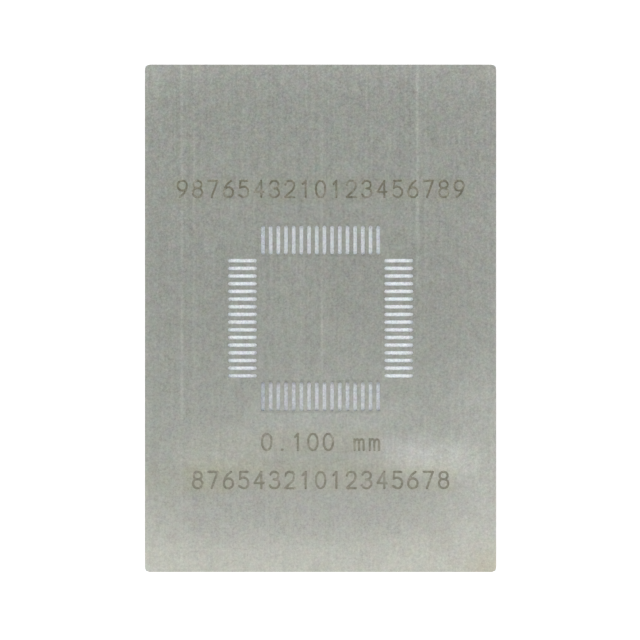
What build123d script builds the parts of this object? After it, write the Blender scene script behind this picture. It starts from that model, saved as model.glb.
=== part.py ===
from build123d import *

import os

# Solder paste stencil
# A stainless steel foil, rolled thin and laser cut, with one slot for each lead of a square
# four-sided package. It lies flat on XY with its squeegee side up, +Y towards its top edge,
# and its origin in the middle of its board side. All lengths are in millimetres.

# Foil blank
foil_width = 22.86
foil_length = 33.02
foil_thickness = 0.10
foil_corner_radius = 0.33

# Aperture array, centred on the foil: a row of slots along each side of the package
package_sides = 4
leads_per_side = 16
lead_pitch = 0.50
row_spacing = 10.18  # between the centre lines of two opposite rows

# One aperture: an oblong slot with round ends
aperture_length = 1.88
aperture_width = 0.24


def foil_outline():
    """The blank's outline, with its four corners rounded."""
    return RectangleRounded(foil_width, foil_length, foil_corner_radius)


def aperture_row():
    """The slots for one side of the package, side by side along Y, each with its long side on X."""
    places = GridLocations(0, lead_pitch, 1, leads_per_side)
    return [place * SlotOverall(aperture_length, aperture_width) for place in places]


def aperture_array():
    """Every slot of the package: the rows stand round the centre and each slot points at it."""
    rows = PolarLocations(row_spacing / 2, package_sides)
    return [row * aperture for row in rows for aperture in aperture_row()]


def stencil_foil():
    """The finished foil, one solid: its outline less its apertures, as thick as the sheet."""
    foil = extrude(foil_outline() - aperture_array(), amount=foil_thickness)
    foil.label = "stencil_foil"
    return foil


os.makedirs("parts", exist_ok=True)
export_step(stencil_foil(), "parts/stencil_foil.step")
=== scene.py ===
import logging
import math
from dataclasses import dataclass, field
from enum import Enum
from typing import Any

import bpy
from mathutils import Euler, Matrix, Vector


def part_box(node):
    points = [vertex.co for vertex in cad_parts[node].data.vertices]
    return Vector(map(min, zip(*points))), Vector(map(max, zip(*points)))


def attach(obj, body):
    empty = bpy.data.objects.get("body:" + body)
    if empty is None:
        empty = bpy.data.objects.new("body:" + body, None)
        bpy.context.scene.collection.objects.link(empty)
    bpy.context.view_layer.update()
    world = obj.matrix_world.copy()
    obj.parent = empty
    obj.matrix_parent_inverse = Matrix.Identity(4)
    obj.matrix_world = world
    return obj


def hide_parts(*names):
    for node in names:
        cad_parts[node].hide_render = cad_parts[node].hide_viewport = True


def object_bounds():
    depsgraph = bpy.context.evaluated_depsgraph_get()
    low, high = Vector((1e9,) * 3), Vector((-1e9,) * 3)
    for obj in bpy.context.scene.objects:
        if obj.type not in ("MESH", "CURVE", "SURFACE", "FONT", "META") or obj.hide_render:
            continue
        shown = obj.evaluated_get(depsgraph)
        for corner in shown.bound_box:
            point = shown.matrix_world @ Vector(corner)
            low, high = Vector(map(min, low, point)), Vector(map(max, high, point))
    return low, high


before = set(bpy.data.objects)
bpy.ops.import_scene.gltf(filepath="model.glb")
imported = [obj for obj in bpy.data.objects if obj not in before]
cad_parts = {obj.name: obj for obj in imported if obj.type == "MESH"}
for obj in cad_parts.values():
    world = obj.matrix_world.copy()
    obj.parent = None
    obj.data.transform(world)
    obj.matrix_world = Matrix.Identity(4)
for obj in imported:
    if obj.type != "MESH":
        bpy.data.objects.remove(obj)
cad_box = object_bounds()

# The solder paste stencil: a rolled stainless steel foil with its laser-cut slots and etched
# scales, on a white table, seen from straight above. Sizes are in millimetres until the foil's
# node tree brings them to metres, and the materials read the place on the foil in millimetres.

log = logging.getLogger("stencil")

MM = 0.001
SQUEEGEE_SIDE = 0.10  # the height of the face that the squeegee runs over
BOARD_SIDE = 0.0  # the height of the face that lies on the board
ROLL_END = 2.0  # how far a line of the rolls fades out at its ends
ROLL_RAGGED = 0.55  # how much such a line comes and goes
NOISE_MIDDLE = 0.5  # what a noise wavers about
GRAIN_LABELS = ("Speckle", "Mottle", "Streaks", "Clouds", "Tint")  # what the grain is made of
QUARTER_TURN = 90.0  # in degrees
WHITE = (1.0, 1.0, 1.0)

# A Mix node has sockets of the same names for numbers, vectors and colours, so these are places
MASK, UNDER, OVER, MIXED = 0, 6, 7, 2

Point = tuple[float, float]
Triple = tuple[float, float, float]
Colour = tuple[float, float, float, float]
Tree = bpy.types.NodeTree
Node = bpy.types.Node
Socket = bpy.types.NodeSocket
Feed = Socket | float | int | bool | str | Triple | Colour | None
Feeds = dict[str | int, Feed]


class GroupKind(Enum):
    """The two kinds of node group that the scene draws."""

    SHAPE = "GeometryNodeTree"
    SHADE = "ShaderNodeTree"


class SocketKind(Enum):
    """What passes through a socket of a group."""

    GEOMETRY = "NodeSocketGeometry"
    NUMBER = "NodeSocketFloat"
    COUNT = "NodeSocketInt"
    VECTOR = "NodeSocketVector"
    COLOUR = "NodeSocketColor"
    MATERIAL = "NodeSocketMaterial"
    OBJECT = "NodeSocketObject"

    def named(self, *labels: str) -> dict[str, "SocketKind"]:
        """Returns a socket of this kind for each label."""
        return dict.fromkeys(labels, self)


def placed(name: str, data: bpy.types.ID) -> bpy.types.Object:
    """Puts a new object in the scene.

    Args:
        name: Its name.
        data: What it shows.

    Returns:
        The object.
    """
    thing = bpy.data.objects.new(name, data)
    bpy.context.scene.collection.objects.link(thing)
    return thing


class Graph:
    """A node tree that is being drawn."""

    def __init__(self, tree: Tree) -> None:
        """Starts drawing in a tree."""
        self.tree = tree

    def feed(self, socket: Socket, value: Feed) -> None:
        """Links an output to an input, or sets the input's own value.

        Args:
            socket: The input.
            value: What goes into it, or None to leave it as it is.
        """
        if isinstance(value, Socket):
            self.tree.links.new(value, socket)
        elif value is not None:
            socket.default_value = value

    def add(self, kind: str, feeds: Feeds | None = None, **settings: Any) -> Node:
        """Adds a node.

        Args:
            kind: Blender's name for the type of node.
            feeds: What goes into its inputs, each a value or another node's output.
            settings: The node's own options.

        Returns:
            The node.
        """
        node = self.tree.nodes.new(kind)
        for name, value in settings.items():
            setattr(node, name, value)
        for name, value in (feeds or {}).items():
            self.feed(node.inputs[name], value)
        return node

    def out(self, kind: str, feeds: Feeds | None = None, **settings: Any) -> Socket:
        """Adds a node as add does, and returns its first output."""
        return self.add(kind, feeds, **settings).outputs[0]

    def math(self, operation: str, *values: Feed, clamp: bool = False) -> Socket:
        """Returns what a Math node makes of the values, kept between 0 and 1 where clamp is true."""
        return self.out("ShaderNodeMath", dict(enumerate(values)), operation=operation, use_clamp=clamp)

    def vector(self, operation: str, *values: Feed) -> Socket:
        """Returns what a Vector Math node makes of the values."""
        return self.out("ShaderNodeVectorMath", dict(enumerate(values)), operation=operation)

    def scale(self, vector: Feed, factor: Feed) -> Socket:
        """Returns the vector times the factor."""
        return self.out("ShaderNodeVectorMath", {0: vector, "Scale": factor}, operation="SCALE")

    def combine(self, x: Feed = 0.0, y: Feed = 0.0, z: Feed = 0.0) -> Socket:
        """Returns a vector of three numbers."""
        return self.out("ShaderNodeCombineXYZ", {0: x, 1: y, 2: z})

    def separate(self, vector: Feed) -> tuple[Socket, Socket, Socket]:
        """Returns the X, Y and Z of a vector."""
        outputs = self.add("ShaderNodeSeparateXYZ", {0: vector}).outputs
        return outputs[0], outputs[1], outputs[2]

    def ramp(self, value: Feed, low: Feed, high: Feed, start: Feed = 0.0, end: Feed = 1.0) -> Socket:
        """Returns a smooth step, from start where the value is low to end where it is high."""
        feeds = {"Value": value, "From Min": low, "From Max": high, "To Min": start, "To Max": end}
        return self.out("ShaderNodeMapRange", feeds, interpolation_type="SMOOTHSTEP")

    def mix(self, mask: Feed, under: Feed, over: Feed, blend: str = "MIX") -> Socket:
        """Returns the colour that over makes of under, where the mask lets it."""
        feeds = {MASK: mask, UNDER: under, OVER: over}
        return self.add("ShaderNodeMix", feeds, data_type="RGBA", blend_type=blend).outputs[MIXED]

    def group(self, tree: Tree, feeds: Feeds) -> Node:
        """Adds a node that stands for a group, and returns it."""
        shape = tree.bl_idname == GroupKind.SHAPE.value
        return self.add("GeometryNodeGroup" if shape else "ShaderNodeGroup", feeds, node_tree=tree)

    def join(self, *shapes: Socket) -> Socket:
        """Returns the shapes as one.

        Args:
            shapes: The shapes.

        Returns:
            The joined shape.
        """
        node = self.add("GeometryNodeJoinGeometry")
        for shape in shapes:
            self.feed(node.inputs[0], shape)
        return node.outputs[0]

    def fillet(self, curve: Socket, count: Feed, radius: Feed) -> Socket:
        """Returns the curve with each corner rounded by a count of points at a radius."""
        feeds = {"Curve": curve, "Count": count, "Radius": radius, "Limit Radius": True}
        return self.out("GeometryNodeFilletCurve", feeds, mode="POLY")


class NodeGroup(Graph):
    """A node group with named inputs and outputs."""

    def __init__(
        self, name: str, kind: GroupKind, takes: dict[str, SocketKind], gives: dict[str, SocketKind]
    ) -> None:
        """Makes an empty group.

        Args:
            name: Its name.
            kind: Whether it makes shapes or shades.
            takes: Its inputs.
            gives: Its outputs.
        """
        super().__init__(bpy.data.node_groups.new(name, kind.value))
        for way, sockets in (("INPUT", takes), ("OUTPUT", gives)):
            for label, socket in sockets.items():
                self.tree.interface.new_socket(label, in_out=way, socket_type=socket.value)
        self.taken = self.tree.nodes.new("NodeGroupInput").outputs
        self.given = self.tree.nodes.new("NodeGroupOutput").inputs

    def passed(self, *labels: str) -> Feeds:
        """Returns the group's own inputs by their labels, for a node whose inputs have the same."""
        return {label: self.taken[label] for label in labels}

    def give(self, **results: Socket) -> Tree:
        """Links the group's outputs.

        Args:
            results: What each output gives.

        Returns:
            The finished group.
        """
        for label, result in results.items():
            self.feed(self.given[label], result)
        return self.tree


class Surface(Graph):
    """A material that is being drawn, on a surface whose place it reads in millimetres."""

    def __init__(self, name: str) -> None:
        """Makes a material that is still bare.

        Args:
            name: Its name.
        """
        self.material = bpy.data.materials.new(name)
        self.material.use_nodes = True
        super().__init__(self.material.node_tree)
        self.shader = self.tree.nodes["Principled BSDF"].inputs
        self.position = self.scale(self.add("ShaderNodeTexCoord").outputs["Object"], 1.0 / MM)


class StrokeShape(Enum):
    """How the etching beam goes through the points of a stroke."""

    STRAIGHT = "straight"
    CURVED = "curved"
    LOOP = "loop"


@dataclass(frozen=True)
class Stroke:
    """One stroke of a character, in a box of width 1 and height 1.

    Attributes:
        shape: How its points are joined.
        points: The points that it goes through.
    """

    shape: StrokeShape
    points: tuple[Point, ...]

    def turned(self) -> "Stroke":
        """Returns the stroke turned by half a turn about the middle of the box."""
        return Stroke(self.shape, tuple((1 - x, 1 - y) for x, y in self.points))


def line(*points: Point) -> Stroke:
    """Returns a stroke of straight runs through the points."""
    return Stroke(StrokeShape.STRAIGHT, points)


def curve(*points: Point) -> Stroke:
    """Returns a smooth open stroke through the points."""
    return Stroke(StrokeShape.CURVED, points)


def loop(*points: Point) -> Stroke:
    """Returns a smooth closed stroke through the points."""
    return Stroke(StrokeShape.LOOP, points)


SIX = (
    curve((0.80, 1.0), (0.40, 0.82), (0.10, 0.52), (0.0, 0.30)),
    loop(
        (0.0, 0.30), (0.14, 0.08), (0.5, 0.0), (0.86, 0.08),
        (1.0, 0.30), (0.86, 0.51), (0.5, 0.60), (0.14, 0.51),
    ),
)

# The characters of the scales, drawn as single strokes
CHARACTERS: dict[str, tuple[Stroke, ...]] = {
    "0": (
        loop(
            (0.5, 1.0), (0.15, 0.87), (0.0, 0.5), (0.15, 0.13),
            (0.5, 0.0), (0.85, 0.13), (1.0, 0.5), (0.85, 0.87),
        ),
    ),
    "1": (line((0.22, 0.80), (0.55, 1.0)), line((0.55, 1.0), (0.55, 0.0))),
    "2": (
        curve(
            (0.02, 0.76), (0.18, 0.95), (0.5, 1.0), (0.84, 0.93),
            (0.96, 0.72), (0.80, 0.46), (0.38, 0.22), (0.0, 0.0),
        ),
        line((0.0, 0.0), (1.0, 0.0)),
    ),
    "3": (
        curve(
            (0.04, 0.83), (0.20, 0.96), (0.5, 1.0), (0.82, 0.93),
            (0.93, 0.76), (0.80, 0.59), (0.42, 0.54),
        ),
        curve((0.42, 0.54), (0.84, 0.48), (1.0, 0.27), (0.84, 0.07), (0.5, 0.0), (0.18, 0.04), (0.0, 0.18)),
    ),
    "4": (line((0.74, 1.0), (0.0, 0.32)), line((0.0, 0.32), (1.0, 0.32)), line((0.74, 1.0), (0.74, 0.0))),
    "5": (
        line((0.92, 1.0), (0.14, 1.0)),
        line((0.14, 1.0), (0.08, 0.56)),
        curve(
            (0.08, 0.56), (0.30, 0.63), (0.55, 0.64), (0.88, 0.53),
            (1.0, 0.32), (0.86, 0.09), (0.5, 0.0), (0.0, 0.13),
        ),
    ),
    "6": SIX,
    "7": (line((0.0, 1.0), (1.0, 1.0)), line((1.0, 1.0), (0.36, 0.0))),
    "8": (
        loop(
            (0.5, 1.0), (0.18, 0.93), (0.07, 0.77), (0.19, 0.61),
            (0.5, 0.55), (0.81, 0.61), (0.93, 0.77), (0.82, 0.93),
        ),
        loop(
            (0.5, 0.55), (0.14, 0.48), (0.0, 0.28), (0.14, 0.08),
            (0.5, 0.0), (0.86, 0.08), (1.0, 0.28), (0.86, 0.48),
        ),
    ),
    "9": tuple(stroke.turned() for stroke in SIX),
    ".": (line((0.45, 0.02), (0.55, 0.02)),),
    "m": (
        line((0.0, 0.66), (0.0, 0.0)),
        curve((0.0, 0.52), (0.14, 0.63), (0.30, 0.66), (0.45, 0.60), (0.5, 0.44)),
        line((0.5, 0.44), (0.5, 0.0)),
        curve((0.5, 0.52), (0.64, 0.63), (0.80, 0.66), (0.95, 0.60), (1.0, 0.44)),
        line((1.0, 0.44), (1.0, 0.0)),
    ),
    " ": (),
}


@dataclass(frozen=True)
class ScaleRow:
    """A row of etched characters, one to a place.

    Attributes:
        text: Its characters, plain numbers and their unit.
        middle: The height on the foil of the middle of its characters.
    """

    text: str
    middle: float


@dataclass
class EtchedScales:
    """The scales and the foil's thickness, etched into the squeegee side.

    Attributes:
        rows: The rows of characters.
        pitch: How far apart the characters stand, which is the scales' millimetre.
        height: The height of a character.
        width: The width of a character.
        stroke_width: The width of a groove at the surface.
        depth: The depth of a groove.
        sides: How many sides a groove's whole section has.
        curve_steps: How many straight runs a curved stroke has from point to point.
        end_size: The size of a groove's round ends, as a share of its section.
        end_rings: How many rings the ball has that makes them.
    """

    rows: tuple[ScaleRow, ...] = (
        ScaleRow("9876543210123456789", 8.42),
        ScaleRow("0.100 mm", -8.04),
        ScaleRow("87654321012345678", -10.52),
    )
    pitch: float = 1.0
    height: float = 1.06
    width: float = 0.60
    stroke_width: float = 0.155
    depth: float = 0.012
    sides: int = 8
    curve_steps: int = 3
    end_size: float = 0.99
    end_rings: int = 4

    def strokes(self, surface: float) -> bpy.types.Object:
        """Draws the strokes of all rows, as a scratch object in millimetres.

        Args:
            surface: The height of the surface that they are etched in.

        Returns:
            A curve object, which is removed when the grooves are cut.
        """
        data = bpy.data.curves.new("etched_strokes", "CURVE")
        data.dimensions = "3D"
        for row in self.rows:
            first = -self.pitch * (len(row.text) - 1) / 2
            for place, character in enumerate(row.text):
                left = first + self.pitch * place - self.width / 2
                corner = Vector((left, row.middle - self.height / 2, surface))
                for stroke in CHARACTERS[character]:
                    self.draw(data, stroke, corner)
        return placed("etched_strokes", data)

    def draw(self, data: bpy.types.Curve, stroke: Stroke, corner: Vector) -> None:
        """Adds one stroke to the curve.

        Args:
            data: The curve.
            stroke: The stroke.
            corner: Where the lower left corner of its character is.
        """
        spline = data.splines.new("BEZIER")
        spline.bezier_points.add(len(stroke.points) - 1)
        straight = stroke.shape is StrokeShape.STRAIGHT
        spline.resolution_u = 1 if straight else self.curve_steps
        spline.use_cyclic_u = stroke.shape is StrokeShape.LOOP
        for knot, (across, up) in zip(spline.bezier_points, stroke.points):
            knot.co = corner + Vector((across * self.width, up * self.height, 0.0))
            knot.handle_left_type = knot.handle_right_type = "VECTOR" if straight else "AUTO"

    def groove_group(self) -> Tree:
        """Draws the group that sweeps a groove's section along the strokes, with round ends.

        Returns:
            The group.
        """
        group = NodeGroup(
            "groove_along_strokes",
            GroupKind.SHAPE,
            SocketKind.GEOMETRY.named("Strokes")
            | SocketKind.NUMBER.named("Stroke Width", "Stroke Depth")
            | SocketKind.COUNT.named("Stroke Sides"),
            SocketKind.GEOMETRY.named("Grooves"),
        )
        half = group.math("DIVIDE", group.taken["Stroke Width"], 2.0)
        depth, sides = group.taken["Stroke Depth"], group.taken["Stroke Sides"]
        circle = group.out("GeometryNodeCurvePrimitiveCircle", {"Resolution": sides, "Radius": 1.0})
        size = group.combine(half, depth, 1.0)
        section = group.out("GeometryNodeTransform", {"Geometry": circle, "Scale": size})
        upright = group.out("GeometryNodeSetCurveNormal", {"Curve": group.taken["Strokes"]}, mode="Z_UP")
        sweeping = {"Curve": upright, "Profile Curve": section, "Fill Caps": True}
        swept = group.out("GeometryNodeCurveToMesh", sweeping)
        rounding = {"Segments": sides, "Rings": self.end_rings, "Radius": self.end_size}
        placing = {
            "Points": upright,
            "Selection": group.out("GeometryNodeCurveEndpointSelection"),
            "Instance": group.out("GeometryNodeMeshUVSphere", rounding),
            "Scale": group.combine(half, half, depth),
        }
        whole = group.join(swept, group.out("GeometryNodeInstanceOnPoints", placing))
        return group.give(Grooves=group.out("GeometryNodeRealizeInstances", {"Geometry": whole}))


@dataclass
class Foil:
    """The foil, with its apertures and its etched scales, as one piece.

    Attributes:
        node: The CAD node that it stands for.
        name: The name of the finished piece.
        rows: How many rows of apertures stand round the package.
        leads: How many apertures a row has.
        pitch: How far apart they stand.
        row_spacing: How far apart the centre lines of two opposite rows are.
        aperture_length: The length of an aperture on the squeegee side.
        aperture_width: Its width there.
        end_share: The radius of its ends as a share of its width, a hair under a half.
        corner_radius: The radius of the foil's corners.
        edge_radius: The radius that the cut leaves on every edge.
        wall_lean: How much wider an aperture is on the board side, on each side.
        holding_edge: The width of the flat strip along every edge, which keeps the faces' shading flat.
        corner_points: How many points a quarter turn of an outline has.
        edge_points: How many points the rounding of an edge has.
        height_tolerance: How far from a face's height its edges may lie.
        merge_distance: How near two points are that become one.
        flat_from: How level a face is, where 1 is quite level, from which it is shaded flat.
        wall_under: How level a face is under which it is a wall.
        scales: The etched scales.
    """

    node: str = "stencil_foil"
    name: str = "foil"
    rows: int = 4
    leads: int = 16
    pitch: float = 0.50
    row_spacing: float = 10.18
    aperture_length: float = 1.88
    aperture_width: float = 0.24
    end_share: float = 0.4999
    corner_radius: float = 0.33
    edge_radius: float = 0.006
    wall_lean: float = 0.007
    holding_edge: float = 0.012
    corner_points: int = 6
    edge_points: int = 2
    height_tolerance: float = 0.001
    merge_distance: float = 0.0002
    flat_from: float = 0.9999
    wall_under: float = 0.95
    scales: EtchedScales = field(default_factory=EtchedScales)

    def __post_init__(self) -> None:
        """Takes the blank's size from the CAD, and lists the inputs that its own sizes go to."""
        low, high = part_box(self.node)
        self.width, self.length, self.thickness = ((top - foot) / MM for foot, top in zip(low, high))
        self.inputs = SocketKind.COUNT.named("Rows", "Leads", "Corner Points", "Edge Points")
        self.inputs |= SocketKind.NUMBER.named(
            "Width", "Length", "Thickness", "Corner Radius", "Pitch", "Row Spacing",
            "Aperture Length", "Aperture Width", "Wall Lean", "Edge Radius", "Holding Edge",
        )

    def outline_group(self) -> Tree:
        """Draws the group that makes one rounded outline.

        Returns:
            The group.
        """
        group = NodeGroup(
            "rounded_outline",
            GroupKind.SHAPE,
            SocketKind.NUMBER.named("Width", "Height", "Radius") | SocketKind.COUNT.named("Points"),
            SocketKind.GEOMETRY.named("Outline"),
        )
        box = group.out("GeometryNodeCurvePrimitiveQuadrilateral", group.passed("Width", "Height"))
        return group.give(Outline=group.fillet(box, group.taken["Points"], group.taken["Radius"]))

    def rows_group(self) -> Tree:
        """Draws the group that stands an aperture's outline in rows round the package.

        Returns:
            The group.
        """
        group = NodeGroup(
            "aperture_rows",
            GroupKind.SHAPE,
            SocketKind.GEOMETRY.named("Outline")
            | SocketKind.COUNT.named("Rows", "Leads")
            | SocketKind.NUMBER.named("Pitch", "Row Spacing"),
            SocketKind.GEOMETRY.named("Outlines"),
        )
        taken = group.taken
        span = group.math("MULTIPLY", group.math("SUBTRACT", taken["Leads"], 1.0), taken["Pitch"])
        middle = group.math("DIVIDE", taken["Row Spacing"], 2.0)
        ranging = {
            "Count": taken["Leads"],
            "Start Location": group.combine(middle, group.math("DIVIDE", span, -2.0)),
            "Offset": group.combine(0.0, taken["Pitch"]),
        }
        placing = {"Points": group.out("GeometryNodeMeshLine", ranging), "Instance": taken["Outline"]}
        row = group.out("GeometryNodeInstanceOnPoints", placing)
        turn = group.math("DIVIDE", math.tau, taken["Rows"])
        angle = group.math("MULTIPLY", group.out("GeometryNodeInputIndex"), turn)
        centre = group.out("GeometryNodePoints", {"Count": taken["Rows"]})
        turning = {"Points": centre, "Instance": row, "Rotation": group.combine(0.0, 0.0, angle)}
        rows = group.out("GeometryNodeInstanceOnPoints", turning)
        return group.give(Outlines=group.out("GeometryNodeRealizeInstances", {"Geometry": rows}))

    def rim_group(self) -> Tree:
        """Draws the group that gives the outlines their cut walls, with rounded edges.

        The section goes from the squeegee side down to the board side, and its Y points down. The
        metal is on the outlines' left.

        Returns:
            The group.
        """
        group = NodeGroup(
            "cut_walls",
            GroupKind.SHAPE,
            SocketKind.GEOMETRY.named("Outlines")
            | SocketKind.NUMBER.named("Thickness", "Wall Lean", "Edge Radius", "Holding Edge")
            | SocketKind.COUNT.named("Edge Points"),
            SocketKind.GEOMETRY.named("Walls"),
        )
        taken = group.taken
        labels = ("Holding Edge", "Wall Lean", "Thickness")
        strip, foot, top = (group.math("MULTIPLY", taken[label], -1.0) for label in labels)
        points = {
            "Point 1": group.combine(strip, top),
            "Point 2": group.combine(0.0, top),
            "Point 3": group.combine(foot, 0.0),
            "Point 4": group.combine(group.math("ADD", foot, strip), 0.0),
        }
        corners = group.out("GeometryNodeCurvePrimitiveQuadrilateral", points, mode="POINTS")
        opened = group.out("GeometryNodeSetSplineCyclic", {"Geometry": corners, "Cyclic": False})
        section = group.fillet(opened, taken["Edge Points"], taken["Edge Radius"])
        upright = group.out("GeometryNodeSetCurveNormal", {"Curve": taken["Outlines"]}, mode="Z_UP")
        sweeping = {"Curve": upright, "Profile Curve": section, "Fill Caps": False}
        return group.give(Walls=group.out("GeometryNodeCurveToMesh", sweeping))

    def face_group(self) -> Tree:
        """Draws the group that fills one face of the foil, up to the walls' open edges.

        Returns:
            The group.
        """
        group = NodeGroup(
            "face_between_walls",
            GroupKind.SHAPE,
            SocketKind.GEOMETRY.named("Walls") | SocketKind.NUMBER.named("Height"),
            SocketKind.GEOMETRY.named("Face"),
        )
        # an open edge has one face beside it, and every other edge has more
        is_open = group.math("LESS_THAN", group.out("GeometryNodeInputMeshEdgeNeighbors"), 2.0)
        height = group.separate(group.out("GeometryNodeInputPosition"))[2]
        at_height = group.math("COMPARE", height, group.taken["Height"], self.height_tolerance)
        rim = {"Mesh": group.taken["Walls"], "Selection": group.math("MULTIPLY", is_open, at_height)}
        edges = group.out("GeometryNodeMeshToCurve", rim)
        filled = group.out("GeometryNodeFillCurve", {"Curve": edges}, mode="TRIANGLES")
        rise = group.combine(0.0, 0.0, group.taken["Height"])
        return group.give(Face=group.out("GeometryNodeTransform", {"Geometry": filled, "Translation": rise}))

    def foil_group(self) -> Tree:
        """Draws the whole foil's tree.

        Returns:
            The tree that goes on the piece's modifier.
        """
        group = NodeGroup(
            "perforated_foil",
            GroupKind.SHAPE,
            SocketKind.GEOMETRY.named("Geometry")
            | self.inputs
            | SocketKind.OBJECT.named("Strokes")
            | SocketKind.NUMBER.named("Stroke Width", "Stroke Depth")
            | SocketKind.COUNT.named("Stroke Sides")
            | SocketKind.MATERIAL.named(*(finish.value for finish in Finish)),
            SocketKind.GEOMETRY.named("Geometry"),
        )
        taken = group.taken
        outline = self.outline_group()
        points = taken["Corner Points"]
        end_radius = group.math("MULTIPLY", taken["Aperture Width"], self.end_share)
        blank, aperture = (
            group.group(outline, {"Width": across, "Height": along, "Radius": radius, "Points": points})
            for across, along, radius in (
                (taken["Width"], taken["Length"], taken["Corner Radius"]),
                (taken["Aperture Length"], taken["Aperture Width"], end_radius),
            )
        )
        around = group.out("GeometryNodeReverseCurve", {"Curve": aperture.outputs[0]})
        placing = group.passed("Rows", "Leads", "Pitch", "Row Spacing")
        apertures = group.group(self.rows_group(), {"Outline": around, **placing})
        outlines = group.join(blank.outputs[0], apertures.outputs[0])
        lengths = group.passed("Thickness", "Wall Lean", "Edge Radius", "Edge Points", "Holding Edge")
        walls = group.group(self.rim_group(), {"Outlines": outlines, **lengths}).outputs[0]
        face = self.face_group()
        squeegee_side = group.group(face, {"Walls": walls, "Height": taken["Thickness"]}).outputs[0]
        board_side = group.group(face, {"Walls": walls, "Height": BOARD_SIDE}).outputs[0]
        turned = group.out("GeometryNodeFlipFaces", {"Mesh": board_side})
        shell = group.join(walls, squeegee_side, turned)
        merging = {"Geometry": shell, "Distance": self.merge_distance}
        solid = group.out("GeometryNodeMergeByDistance", merging)
        strokes = group.add("GeometryNodeObjectInfo", {"Object": taken["Strokes"]}).outputs["Geometry"]
        etching = group.passed("Stroke Width", "Stroke Depth", "Stroke Sides")
        grooves = group.group(self.scales.groove_group(), {"Strokes": strokes, **etching}).outputs[0]
        marking = {"Geometry": grooves, "Name": "etched", "Value": True}
        marked = group.out("GeometryNodeStoreNamedAttribute", marking, data_type="BOOLEAN", domain="FACE")
        cutting = {"Mesh 1": solid, "Mesh 2": marked, "Self Intersection": True}
        cut = group.out("GeometryNodeMeshBoolean", cutting, operation="DIFFERENCE", solver="EXACT")
        metres = group.out("GeometryNodeTransform", {"Geometry": cut, "Scale": (MM, MM, MM)})
        upness = group.math("ABSOLUTE", group.separate(group.out("GeometryNodeInputNormal"))[2])
        shading = {"Geometry": metres, "Shade Smooth": group.math("LESS_THAN", upness, self.flat_from)}
        shaded = group.out("GeometryNodeSetShadeSmooth", shading)
        dressed = group.out("GeometryNodeRealizeInstances", {"Geometry": shaded})
        etched = group.out("GeometryNodeInputNamedAttribute", {"Name": "etched"}, data_type="BOOLEAN")
        wall = group.math("LESS_THAN", upness, self.wall_under)
        for finish, where in ((Finish.FACE, True), (Finish.WALL, wall), (Finish.ETCHED, etched)):
            feeds = {"Geometry": dressed, "Selection": where, "Material": taken[finish.value]}
            dressed = group.out("GeometryNodeSetMaterial", feeds)
        return group.give(Geometry=dressed)

    def build(self, finishes: dict[str, bpy.types.Material]) -> bpy.types.Object:
        """Builds the foil as a plain mesh.

        Args:
            finishes: The materials of its faces, walls and etched strokes, by the name of the input.

        Returns:
            The piece.
        """
        strokes = self.scales.strokes(self.thickness)
        tree = self.foil_group()
        values = {label: getattr(self, label.lower().replace(" ", "_")) for label in self.inputs}
        values |= {
            "Strokes": strokes,
            "Stroke Width": self.scales.stroke_width,
            "Stroke Depth": self.scales.depth,
            "Stroke Sides": self.scales.sides,
            **finishes,
        }
        blank = placed(f"{self.name}_blank", bpy.data.meshes.new(f"{self.name}_blank"))
        modifier = blank.modifiers.new(tree.name, "NODES")
        modifier.node_group = tree
        for socket in tree.interface.items_tree:
            if socket.in_out == "INPUT" and socket.name in values:
                modifier[socket.identifier] = values[socket.name]
        depsgraph = bpy.context.evaluated_depsgraph_get()
        mesh = bpy.data.meshes.new_from_object(blank.evaluated_get(depsgraph), depsgraph=depsgraph)
        mesh.name = self.name
        while None in mesh.materials[:]:
            mesh.materials.pop(index=mesh.materials[:].index(None))
        for scratch in (blank, strokes):
            bpy.data.objects.remove(scratch)
        piece = placed(self.name, mesh)
        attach(piece, "root")
        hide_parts(self.node)
        names = ", ".join(material.name for material in mesh.materials)
        log.info("%s: %d vertices, %d faces, %s", piece.name, len(mesh.vertices), len(mesh.polygons), names)
        return piece


@dataclass(frozen=True)
class SoftMark:
    """A soft patch, line or stain on a face; some are painted shade and painted highlights.

    Attributes:
        place: Its middle.
        half: Half the width and height of the part that has its full strength.
        fade: How far it fades out beyond that, across and along.
        shade: What it multiplies the colour by.
        ragged: How much its strength comes and goes along it.
        pitch: The spacing of the dashes that it is made of, or 0 where it is whole.
        height: The height of the surface that it is on.
    """

    place: Point
    half: Point
    fade: Point
    shade: Triple
    ragged: float = 0.0
    pitch: float = 0.0
    height: float = SQUEEGEE_SIDE


def grey(level: float) -> Triple:
    """Returns a shade that changes only how light a colour is."""
    return (level, level, level)


def roll_line(
    x: float, gain: float, top: float, bottom: float, width: float = 0.14, height: float = SQUEEGEE_SIDE
) -> SoftMark:
    """Describes a light line that the mill's rolls drew along the sheet.

    Args:
        x: Where it is across the foil.
        gain: How much lighter it is than the steel round it.
        top: Its upper end.
        bottom: Its lower end.
        width: How far it fades out to each side.
        height: The height of the side that it is on.

    Returns:
        The mark.
    """
    place = (x, (top + bottom) / 2)
    half = (0.0, (top - bottom) / 2)
    return SoftMark(place, half, (width, ROLL_END), grey(1.0 + gain), ROLL_RAGGED, height=height)


@dataclass(frozen=True)
class Noise:
    """A noise that the finishes read at a place on the foil.

    Attributes:
        scale: How many of its cells go into a millimetre.
        detail: How many finer layers it has.
        roughness: How strong those layers are.
        stretch: What the place is multiplied by first, or None to read it as it is.
    """

    scale: float
    detail: float = 2.0
    roughness: float = 0.5
    stretch: Triple | None = None

    def read(self, graph: Graph, position: Socket) -> Node:
        """Adds the noise to a tree.

        Args:
            graph: The tree.
            position: The place, in millimetres.

        Returns:
            The noise's node.
        """
        if self.stretch:
            position = graph.vector("MULTIPLY", position, self.stretch)
        feeds = {"Scale": self.scale, "Detail": self.detail, "Roughness": self.roughness}
        return graph.add("ShaderNodeTexNoise", {"Vector": position, **feeds})


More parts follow.
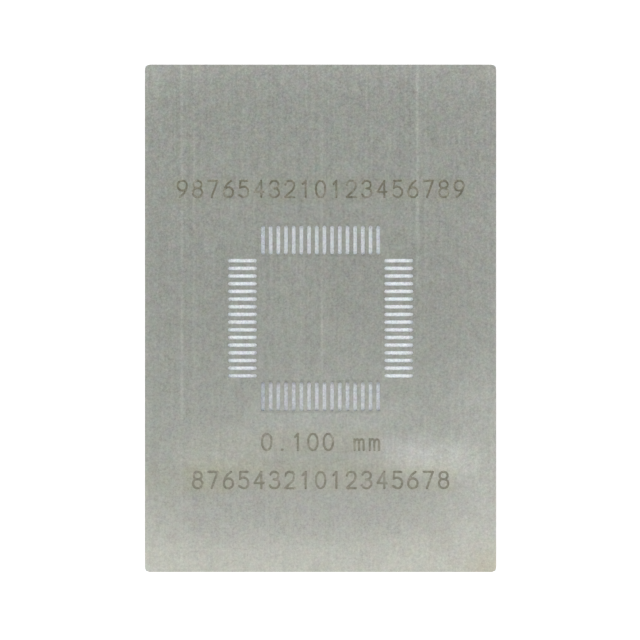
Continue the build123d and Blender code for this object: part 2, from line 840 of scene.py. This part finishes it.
@dataclass
class FinishGroups:
    """The node groups that the finishes share.

    Attributes:
        speckle: The finest grain.
        mottle: The coarser grain, drawn out along the sheet.
        streaks: The streaks along the sheet.
        clouds: The cloudiness.
        tints: How the colour wavers.
        streak_height: How much the streaks add to the bump, where the finest grain adds 1.
        breaks: Where the marks are stronger and weaker.
        break_swing: How much they change a mark whose raggedness is 1.
        mark_depth: How far from its surface a mark reaches, and how far beyond that it fades out.
    """

    speckle: Noise = Noise(6.7, 2.6, 1.0)
    mottle: Noise = Noise(3.4, 1.5, stretch=(1.0, 0.4, 1.0))
    streaks: Noise = Noise(1.0, stretch=(7.0, 0.14, 7.0))
    clouds: Noise = Noise(0.9)
    tints: Noise = Noise(2.0, 1.0)
    streak_height: float = 0.6
    breaks: Noise = Noise(1.3, stretch=(1.0, 0.4, 1.0))
    break_swing: float = 3.0
    mark_depth: float = 0.02

    def __post_init__(self) -> None:
        """Draws the groups."""
        self.grain = self.grain_group()
        self.mark = self.mark_group()

    def grain_group(self) -> Tree:
        """Draws the group for the grain of rolled steel.

        It puts out a shade to multiply a colour by, a mask that follows the finest grain, and a
        height for a bump.

        Returns:
            The group.
        """
        group = NodeGroup(
            "rolled_grain",
            GroupKind.SHADE,
            SocketKind.VECTOR.named("Position") | SocketKind.NUMBER.named("Strength", *GRAIN_LABELS),
            SocketKind.COLOUR.named("Shade") | SocketKind.NUMBER.named("Mask", "Height"),
        )
        position, strength = group.taken["Position"], group.taken["Strength"]
        noises = zip(GRAIN_LABELS, (self.speckle, self.mottle, self.streaks, self.clouds))
        levels = {label: noise.read(group, position).outputs["Fac"] for label, noise in noises}
        swings: Feed = 0.0
        for label, reading in levels.items():
            swing = group.math("SUBTRACT", reading, NOISE_MIDDLE)
            swings = group.math("MULTIPLY_ADD", swing, group.taken[label], swings)
        level = group.math("MULTIPLY_ADD", swings, strength, 1.0)
        colours = self.tints.read(group, position).outputs["Color"]
        tint = group.math("MULTIPLY", group.taken["Tint"], strength)
        hue = group.scale(group.vector("SUBTRACT", colours, grey(NOISE_MIDDLE)), tint)
        hue = group.vector("ADD", hue, WHITE)
        height = group.math("MULTIPLY_ADD", levels["Streaks"], self.streak_height, levels["Speckle"])
        return group.give(Shade=group.scale(hue, level), Mask=levels["Speckle"], Height=height)

    def mark_group(self) -> Tree:
        """Draws the group for a soft patch, line or stain, also used for painted shade and painted
        highlights.

        Returns:
            The group, which puts out the mark's mask.
        """
        group = NodeGroup(
            "soft_mark",
            GroupKind.SHADE,
            SocketKind.VECTOR.named("Position", "Place", "Half", "Fade")
            | SocketKind.NUMBER.named("Ragged", "Pitch"),
            SocketKind.NUMBER.named("Mask"),
        )
        taken = group.taken
        away = group.vector("ABSOLUTE", group.vector("SUBTRACT", taken["Position"], taken["Place"]))
        beyond = group.vector("DIVIDE", group.vector("SUBTRACT", away, taken["Half"]), taken["Fade"])
        outside = group.vector("MAXIMUM", beyond, (0.0, 0.0, 0.0))
        reach = group.add("ShaderNodeVectorMath", {0: outside}, operation="LENGTH").outputs["Value"]
        soft = group.ramp(reach, 0.0, 1.0, 1.0, 0.0)
        breaks = self.breaks.read(group, taken["Position"]).outputs["Fac"]
        swing = group.math("SUBTRACT", breaks, NOISE_MIDDLE)
        swing = group.math("MULTIPLY", swing, group.math("MULTIPLY", taken["Ragged"], self.break_swing))
        soft = group.math("MULTIPLY", soft, group.math("ADD", swing, 1.0), clamp=True)
        # a pitch of 0 makes the turn 0, so that the mark is whole
        turn = group.math("DIVIDE", group.separate(away)[0], taken["Pitch"])
        dash = group.math("COSINE", group.math("MULTIPLY", turn, math.tau))
        dash = group.math("DIVIDE", group.math("ADD", dash, 1.0), 2.0)
        return group.give(Mask=group.math("MULTIPLY", soft, dash))

    def marked(self, graph: Graph, position: Socket, colour: Feed, marks: tuple[SoftMark, ...]) -> Feed:
        """Lays marks on a colour.

        Args:
            graph: The material's tree.
            position: The place on the surface, in millimetres.
            colour: The colour.
            marks: The marks.

        Returns:
            The marked colour.
        """
        for mark in marks:
            feeds = {
                "Position": position,
                "Place": (*mark.place, mark.height),
                "Half": (*mark.half, self.mark_depth),
                "Fade": (*mark.fade, self.mark_depth),
                "Ragged": mark.ragged,
                "Pitch": mark.pitch,
            }
            mask = graph.group(self.mark, feeds).outputs["Mask"]
            colour = graph.mix(mask, colour, (*mark.shade, 1.0), "MULTIPLY")
        return colour


@dataclass(frozen=True)
class SteelFinish:
    """A finish of the foil's steel, and what it looks like.

    Attributes:
        name: The material's name.
        colour: The colour of the steel.
        roughness: How rough it is.
        roughness_swing: How much its grain changes that.
        wear: How strong its grain is at the near and at the far end of the sheet.
        speckle: How strong its finest grain is.
        mottle: How strong its coarser grain is.
        streaks: How strong the streaks along the sheet are.
        clouds: How strong its cloudiness is.
        tint: How much its colour wavers.
        bump: How strong its grain's bump is.
        grain_height: The height of that bump.
        marks: The marks on it.
        metallic: How metallic it is.
    """

    name: str
    colour: Colour
    roughness: float
    roughness_swing: float = 0.10
    wear: Point = (0.82, 1.17)
    speckle: float = 1.10
    mottle: float = 0.18
    streaks: float = 0.18
    clouds: float = 0.14
    tint: float = 0.14
    bump: float = 0.25
    grain_height: float = 0.002
    marks: tuple[SoftMark, ...] = ()
    metallic: float = 1.0

    def colour_of(self, surface: Surface, groups: FinishGroups, shade: Socket) -> Socket:
        """Returns the base colour, which is the steel's with the grain's shade and the marks."""
        colour = surface.mix(1.0, self.colour, shade, "MULTIPLY")
        return groups.marked(surface, surface.position, colour, self.marks)

    def material(self, groups: FinishGroups) -> bpy.types.Material:
        """Makes the material.

        Args:
            groups: The shared groups.

        Returns:
            The material.
        """
        surface = Surface(self.name)
        shader = surface.shader
        surface.feed(shader["Metallic"], self.metallic)
        near, far = (corner[1] / MM for corner in cad_box)
        along = surface.separate(surface.position)[1]
        feeds = {"Position": surface.position, "Strength": surface.ramp(along, near, far, *self.wear)}
        strengths = {label: getattr(self, label.lower()) for label in GRAIN_LABELS}
        grain = surface.group(groups.grain, feeds | strengths).outputs
        surface.feed(shader["Base Color"], self.colour_of(surface, groups, grain["Shade"]))
        swing = surface.math("SUBTRACT", grain["Mask"], NOISE_MIDDLE)
        roughness = surface.math("MULTIPLY_ADD", swing, self.roughness_swing, self.roughness)
        surface.feed(shader["Roughness"], roughness)
        bump = {"Height": grain["Height"], "Strength": self.bump, "Distance": self.grain_height * MM}
        surface.feed(shader["Normal"], surface.out("ShaderNodeBump", bump))
        return surface.material


@dataclass(frozen=True)
class EtchedFinish(SteelFinish):
    """The heat-tinted bottom of the etched strokes, darker in some places than in others.

    Attributes:
        pale: The colour where the beam marked the steel least.
        bottom: The height of the strokes' bottom.
        rim: The height of their rims.
        rim_share: How pale the rims are.
        fading: Where the strokes begin to be fainter and where they are faintest, along the sheet.
        fade_share: How pale they are there.
        patches: The noise that makes them paler in places.
        patch_limits: From where on it does, and where it makes them palest.
    """

    pale: Colour = (0.300, 0.302, 0.254, 1.0)
    bottom: float = 0.088
    rim: float = SQUEEGEE_SIDE
    rim_share: float = 0.75
    fading: Point = (4.0, -8.0)
    fade_share: float = 0.45
    patches: Noise = Noise(1.0, 4.0)
    patch_limits: Point = (0.40, 0.66)

    def colour_of(self, surface: Surface, groups: FinishGroups, shade: Socket) -> Socket:
        """Adds the nodes that make the base colour.

        Args:
            surface: The material.
            groups: The shared groups, not used here.
            shade: The grain's shade.

        Returns:
            The colour.
        """
        _, along, height = surface.separate(surface.position)
        rim = surface.ramp(height, self.bottom, self.rim, 0.0, self.rim_share)
        least = surface.ramp(along, *self.fading, 0.0, self.fade_share)
        noise = self.patches.read(surface, surface.position).outputs["Fac"]
        patches = surface.ramp(noise, *self.patch_limits)
        faint = surface.math("MAXIMUM", patches, surface.math("MAXIMUM", rim, least))
        return surface.mix(1.0, surface.mix(faint, self.colour, self.pale), shade, "MULTIPLY")


class Finish(Enum):
    """The finishes of the foil, each with the name of the input that takes it."""

    FACE = "Face Material"
    WALL = "Wall Material"
    ETCHED = "Etched Material"

    def steel(self) -> SteelFinish:
        """Returns what the finish looks like."""
        match self:
            case Finish.FACE:
                return SteelFinish("rolled_steel", (0.376, 0.392, 0.358, 1.0), 0.32, marks=FACE_MARKS)
            case Finish.WALL:
                return SteelFinish("laser_cut_wall", (0.28, 0.27, 0.25, 1.0), 0.40, speckle=1.35, bump=0.5)
            case Finish.ETCHED:
                return EtchedFinish("etched_stroke", (0.200, 0.193, 0.148, 1.0), 0.5, speckle=1.5)


# What marks the foil's faces, painted shade and painted highlights among them.
# The squeegee side's come first: the lines of the rolls
FACE_MARKS = (
    roll_line(-9.03, 0.14, 16.4, -5.5, 0.17),
    roll_line(-9.03, 0.05, -9.5, -15.0, 0.17),
    roll_line(-8.24, 0.09, 16.4, 7.0),
    roll_line(-8.24, 0.05, 3.0, -5.0),
    roll_line(-5.06, 0.06, 12.5, 11.0),
    roll_line(-0.92, 0.07, 16.4, 13.5),
    roll_line(0.09, 0.06, 16.4, -5.0),
    roll_line(0.09, 0.07, 1.8, -0.2),
    roll_line(2.98, 0.07, 14.5, 9.0),
    roll_line(6.30, 0.22, 16.4, 12.0, 0.19),
    roll_line(6.30, 0.15, 10.0, 3.0, 0.19),
    roll_line(6.86, 0.08, 16.4, 3.0),
    # painted shade: dark bands, two of them dashed, on the squeegee side just beyond the apertures' ends,
    # standing in for the shade of their end walls
    SoftMark((0.25, 6.12), (3.9, 0.02), (0.2, 0.10), grey(0.90), 0.3, 0.5),
    SoftMark((0.0, 4.07), (3.8, 0.02), (0.2, 0.10), grey(0.93), 0.3),
    SoftMark((0.25, -4.09), (3.9, 0.02), (0.2, 0.10), grey(0.80), 0.3, 0.5),
    SoftMark((0.0, -6.08), (3.8, 0.02), (0.2, 0.12), grey(0.87), 0.3),
    # lighter along the edges, in the corners and towards the near end: painted sheen that adds to the lamps'
    # reflection in the steel
    SoftMark((0.0, 16.51), (11.43, 0.0), (1.0, 2.8), (1.12, 1.11, 1.12)),
    SoftMark((-11.43, 14.0), (0.0, 1.0), (3.0, 5.0), grey(1.04)),
    SoftMark((11.43, 8.0), (0.0, 7.0), (5.5, 4.0), (1.05, 1.04, 1.05)),
    SoftMark((11.43, 0.0), (0.0, 16.5), (0.5, 1.0), grey(1.04)),
    SoftMark((-11.43, 0.0), (0.0, 16.5), (0.5, 1.0), grey(1.04)),
    SoftMark((0.0, 16.51), (11.4, 0.0), (1.0, 0.5), grey(1.03)),
    SoftMark((-11.43, 16.51), (0.0, 0.0), (2.6, 2.6), (1.06, 1.065, 1.06)),
    SoftMark((11.43, 16.51), (0.0, 0.0), (2.6, 2.6), (1.04, 1.03, 1.01)),
    SoftMark((0.0, -15.9), (11.43, 0.3), (1.0, 2.4), (1.06, 1.055, 1.045)),
    SoftMark((7.6, -14.9), (2.0, 1.0), (3.0, 2.4), (1.04, 1.035, 1.03)),
    SoftMark((-11.43, -14.8), (0.8, 1.2), (4.0, 3.6), (1.05, 1.05, 1.04)),
    # lighter patches: painted highlights on the steel
    SoftMark((11.43, -8.6), (1.0, 3.0), (4.0, 5.0), (1.17, 1.16, 1.17)),
    SoftMark((7.4, -9.1), (0.4, 0.1), (3.6, 2.0), (1.27, 1.27, 1.29), 0.3),
    SoftMark((5.0, -8.8), (0.6, 0.1), (2.8, 1.6), (1.12, 1.11, 1.13), 0.3),
    SoftMark((3.0, -4.6), (4.0, 0.3), (5.0, 2.0), grey(1.04)),
    SoftMark((0.8, -6.9), (3.0, 0.3), (5.0, 2.1), (1.11, 1.11, 1.12)),
    SoftMark((-6.4, -8.6), (1.0, 0.2), (3.2, 1.7), (1.10, 1.09, 1.06), 0.3),
    # smudges
    SoftMark((-1.8, -12.5), (5.9, 0.6), (4.0, 2.1), (0.95, 0.945, 0.955)),
    SoftMark((-7.0, 1.0), (1.5, 2.0), (3.0, 4.0), grey(0.965)),
    SoftMark((5.0, 2.2), (4.0, 1.4), (3.0, 2.4), (0.965, 0.96, 0.96)),
    SoftMark((9.2, -3.9), (0.5, 0.2), (1.8, 1.2), grey(0.965)),
    SoftMark((9.2, -12.3), (0.4, 0.2), (1.6, 1.2), grey(0.965)),
    SoftMark((-8.6, -10.6), (2.4, 0.5), (1.4, 0.8), (0.98, 0.98, 0.94), 0.3),
    SoftMark((0.0, -9.6), (7.5, 0.2), (2.0, 0.5), (1.0, 0.99, 0.95), 0.3),
    # the steel that the etching warmed, along each row of characters
    SoftMark((0.0, 8.35), (9.4, 0.5), (0.8, 0.6), (0.985, 0.975, 0.94), 0.2),
    SoftMark((0.0, -8.04), (3.7, 0.45), (0.6, 0.6), (0.99, 0.97, 0.92), 0.2),
    SoftMark((0.0, -10.52), (8.6, 0.45), (0.8, 0.6), (0.995, 0.98, 0.935), 0.2),
    # a stain in the corner
    SoftMark((11.43, -16.51), (0.4, 0.2), (2.8, 2.2), (1.02, 0.98, 0.91), 0.3),
    # the board side's own lines and wear
    roll_line(-6.70, 0.14, 15.0, -9.0, 0.18, BOARD_SIDE),
    roll_line(-2.10, 0.06, 16.4, -16.4, 0.12, BOARD_SIDE),
    roll_line(8.35, 0.20, 6.0, -16.4, 0.17, BOARD_SIDE),
    SoftMark((0.0, 0.0), (5.2, 5.2), (3.0, 3.0), grey(1.07), 0.3, height=BOARD_SIDE),
    SoftMark((0.0, 16.51), (11.43, 0.0), (1.0, 1.6), grey(1.08), height=BOARD_SIDE),
    SoftMark((0.0, -16.51), (11.43, 0.0), (1.0, 1.6), grey(1.08), height=BOARD_SIDE),
)


@dataclass(frozen=True)
class Softbox:
    """A flat lamp that faces the foil.

    Attributes:
        name: Its name.
        azimuth: The direction that it stands in, in degrees from +X towards +Y.
        zenith: How far it is from straight above, in degrees.
        width: Its level side, in metres.
        height: Its other side, in metres.
        radiance: How bright it looks, where 1 is white.
        colour: The colour of its light.
        distance: How far it is from the foil, in metres.
    """

    name: str
    azimuth: float
    zenith: float
    width: float
    height: float
    radiance: float
    colour: Triple = WHITE
    distance: float = 0.25

    def place(self) -> bpy.types.Object:
        """Puts the lamp in the scene.

        Returns:
            The lamp.
        """
        light = bpy.data.lights.new(self.name, "AREA")
        light.shape = "RECTANGLE"
        light.size = self.width
        light.size_y = self.height
        light.energy = self.radiance * math.pi * self.width * self.height
        light.color = self.colour
        lamp = placed(self.name, light)
        turn = Euler((math.radians(self.zenith), 0.0, math.radians(self.azimuth + QUARTER_TURN)), "XYZ")
        lamp.rotation_euler = turn
        lamp.location = turn.to_matrix() @ Vector((0.0, 0.0, self.distance))
        lamp.visible_camera = False
        return lamp


@dataclass
class Studio:
    """The camera, the white table and the light.

    Attributes:
        lens: The camera's focal length.
        sensor: The width of its sensor.
        view_width: The width that the picture shows at the foil's squeegee side.
        aim: Where on the foil the middle of the picture is.
        table_side: The length of the table's sides, in metres.
        table_drop: How far the table is under the foil.
        table_white: The table's colour.
        table_lift: How much whiter the table shows to the camera and in the metal.
        under_white: The colour of the part of the table under the foil, a little darker and bluer than
            the table's white: painted shade under the foil.
        under_lift: How much of that colour it adds in the same way, far less than outside the foil, which
            paints more shade under it.
        under_grain: How strong its grain and that grain's tint are.
        under_marks: Where less light gets under the foil, as if on its squeegee side.
        zenith_level: The brightness of the room straight above.
        dusk_level: The brightness of the room between its ceiling and its backdrop.
        backdrop_level: The brightness of the backdrop, low all round.
        glow: How high in the room the ceiling begins and where it is brightest, as the height of a
            direction of length 1.
        backdrop: How high in the room the backdrop is brightest and where it ends.
        softboxes: The lamps.
    """

    lens: float = 50.0
    sensor: float = 36.0
    view_width: float = 41.64
    aim: Point = (-0.039, -0.11)
    table_side: float = 6.0
    table_drop: float = 0.045
    table_white: Colour = (0.88, 0.88, 0.88, 1.0)
    table_lift: Colour = (0.40, 0.40, 0.40, 1.0)
    under_white: Colour = (0.83, 0.87, 0.89, 1.0)
    under_lift: Colour = (0.085, 0.097, 0.107, 1.0)
    under_grain: Point = (1.25, 0.13)
    under_marks: tuple[SoftMark, ...] = (
        SoftMark((0.0, -5.09), (4.1, 0.9), (1.0, 0.7), (0.93, 0.92, 0.92)),
        SoftMark((0.0, -4.10), (4.1, 0.06), (0.1, 0.30), grey(0.80)),
        SoftMark((-3.0, -5.09), (0.5, 0.9), (2.0, 0.7), grey(0.94)),
        SoftMark((-3.95, -5.09), (0.15, 0.9), (0.45, 0.4), (0.84, 0.86, 0.88)),
        SoftMark((3.95, -5.09), (0.10, 0.9), (0.45, 0.4), (0.93, 0.93, 0.95)),
        SoftMark((-3.95, 5.09), (0.15, 0.9), (0.45, 0.4), (0.86, 0.88, 0.90)),
        SoftMark((3.95, 5.09), (0.10, 0.9), (0.45, 0.4), (0.93, 0.93, 0.95)),
        SoftMark((-5.09, -3.95), (0.9, 0.10), (0.4, 0.45), (0.90, 0.90, 0.92)),
        SoftMark((5.09, 0.0), (1.0, 4.1), (0.5, 0.5), grey(1.02)),
    )
    zenith_level: float = 0.80
    dusk_level: float = 0.50
    backdrop_level: float = 1.00
    glow: Point = (0.45, 0.95)
    backdrop: Point = (0.15, 0.60)
    softboxes: tuple[Softbox, ...] = (
        Softbox("left_softbox", 180.0, 60.0, 0.20, 0.14, 1.9),
        Softbox("right_softbox", 0.0, 60.0, 0.22, 0.14, 2.2),
        Softbox("near_softbox", -90.0, 26.5, 0.24, 0.07, 1.15, (1.0, 0.93, 0.92)),
    )

    def camera(self) -> None:
        """Stands the camera straight above the foil."""
        data = bpy.data.cameras.new("camera")
        data.lens = self.lens
        data.sensor_width = self.sensor
        data.clip_start = MM
        data.clip_end = self.table_side
        camera = placed("camera", data)
        rise = self.view_width * self.lens / self.sensor
        camera.location = Vector((*self.aim, rise)) * MM + Vector((0.0, 0.0, cad_box[1][2]))
        bpy.context.scene.camera = camera

    def table(self, groups: FinishGroups) -> None:
        """Lays the white table under the foil.

        Args:
            groups: The shared groups.
        """
        half = self.table_side / 2
        drop = -self.table_drop * MM
        mesh = bpy.data.meshes.new("table")
        corners = [(-half, -half, drop), (half, -half, drop), (half, half, drop), (-half, half, drop)]
        mesh.from_pydata(corners, [], [(0, 1, 2, 3)])
        graph = Surface("white_table")
        shader, position = graph.shader, graph.position
        graph.feed(shader["Roughness"], 1.0)
        graph.feed(shader["Specular IOR Level"], 0.0)
        rays = graph.add("ShaderNodeLightPath").outputs
        seen = graph.math("MAXIMUM", rays["Is Camera Ray"], rays["Is Glossy Ray"])
        seen = graph.math("MAXIMUM", seen, rays["Is Transmission Ray"])
        x, y, _ = graph.separate(graph.vector("ABSOLUTE", position))
        right, far, top = (size / MM for size in cad_box[1])
        past_side = graph.math("GREATER_THAN", x, right)
        outside = graph.math("MAXIMUM", past_side, graph.math("GREATER_THAN", y, far))
        speckle, tint = self.under_grain
        feeds = {"Position": position, "Strength": 1.0, "Speckle": speckle, "Tint": tint}
        grain = graph.group(groups.grain, feeds).outputs["Shade"]
        under = graph.mix(1.0, self.under_white, grain, "MULTIPLY")
        raised = graph.vector("ADD", position, (0.0, 0.0, self.table_drop + top))
        under = groups.marked(graph, raised, under, self.under_marks)
        # painted shade: under the foil the table shows its own darker colour and a far smaller glow than
        # outside it
        lift = graph.mix(1.0, under, self.under_lift, "MULTIPLY")
        graph.feed(shader["Base Color"], graph.mix(outside, under, self.table_white))
        graph.feed(shader["Emission Color"], graph.mix(outside, lift, self.table_lift))
        graph.feed(shader["Emission Strength"], seen)
        mesh.materials.append(graph.material)
        placed("table", mesh)

    def room(self) -> None:
        """Lights the scene from all round, white where the camera sees it."""
        world = bpy.data.worlds.new("room")
        world.use_nodes = True
        bpy.context.scene.world = world
        graph = Graph(world.node_tree)
        background = world.node_tree.nodes["Background"].inputs
        upness = graph.separate(graph.add("ShaderNodeTexCoord").outputs["Generated"])[2]
        ceiling = graph.ramp(upness, *self.glow, self.dusk_level, self.zenith_level)
        backdrop = graph.ramp(upness, *self.backdrop, self.backdrop_level, self.dusk_level)
        seen = graph.add("ShaderNodeLightPath").outputs["Is Camera Ray"]
        background["Color"].default_value = (*WHITE, 1.0)
        strength = graph.math("MAXIMUM", graph.math("MAXIMUM", ceiling, backdrop), seen)
        graph.feed(background["Strength"], strength)

    def set_up(self, groups: FinishGroups) -> None:
        """Sets up the table, the room, the lamps and how colours are shown.

        Args:
            groups: The shared groups.
        """
        self.table(groups)
        self.room()
        for softbox in self.softboxes:
            softbox.place()
        bpy.context.scene.view_settings.view_transform = "Standard"


def main() -> None:
    """Builds the scene, with the foil at the CAD's size."""
    logging.basicConfig(level=logging.INFO, format="%(name)s: %(message)s")
    studio = Studio()
    studio.camera()
    groups = FinishGroups()
    studio.set_up(groups)
    finishes = {finish.value: finish.steel().material(groups) for finish in Finish}
    Foil().build(finishes)


if __name__ == "__main__":
    main()
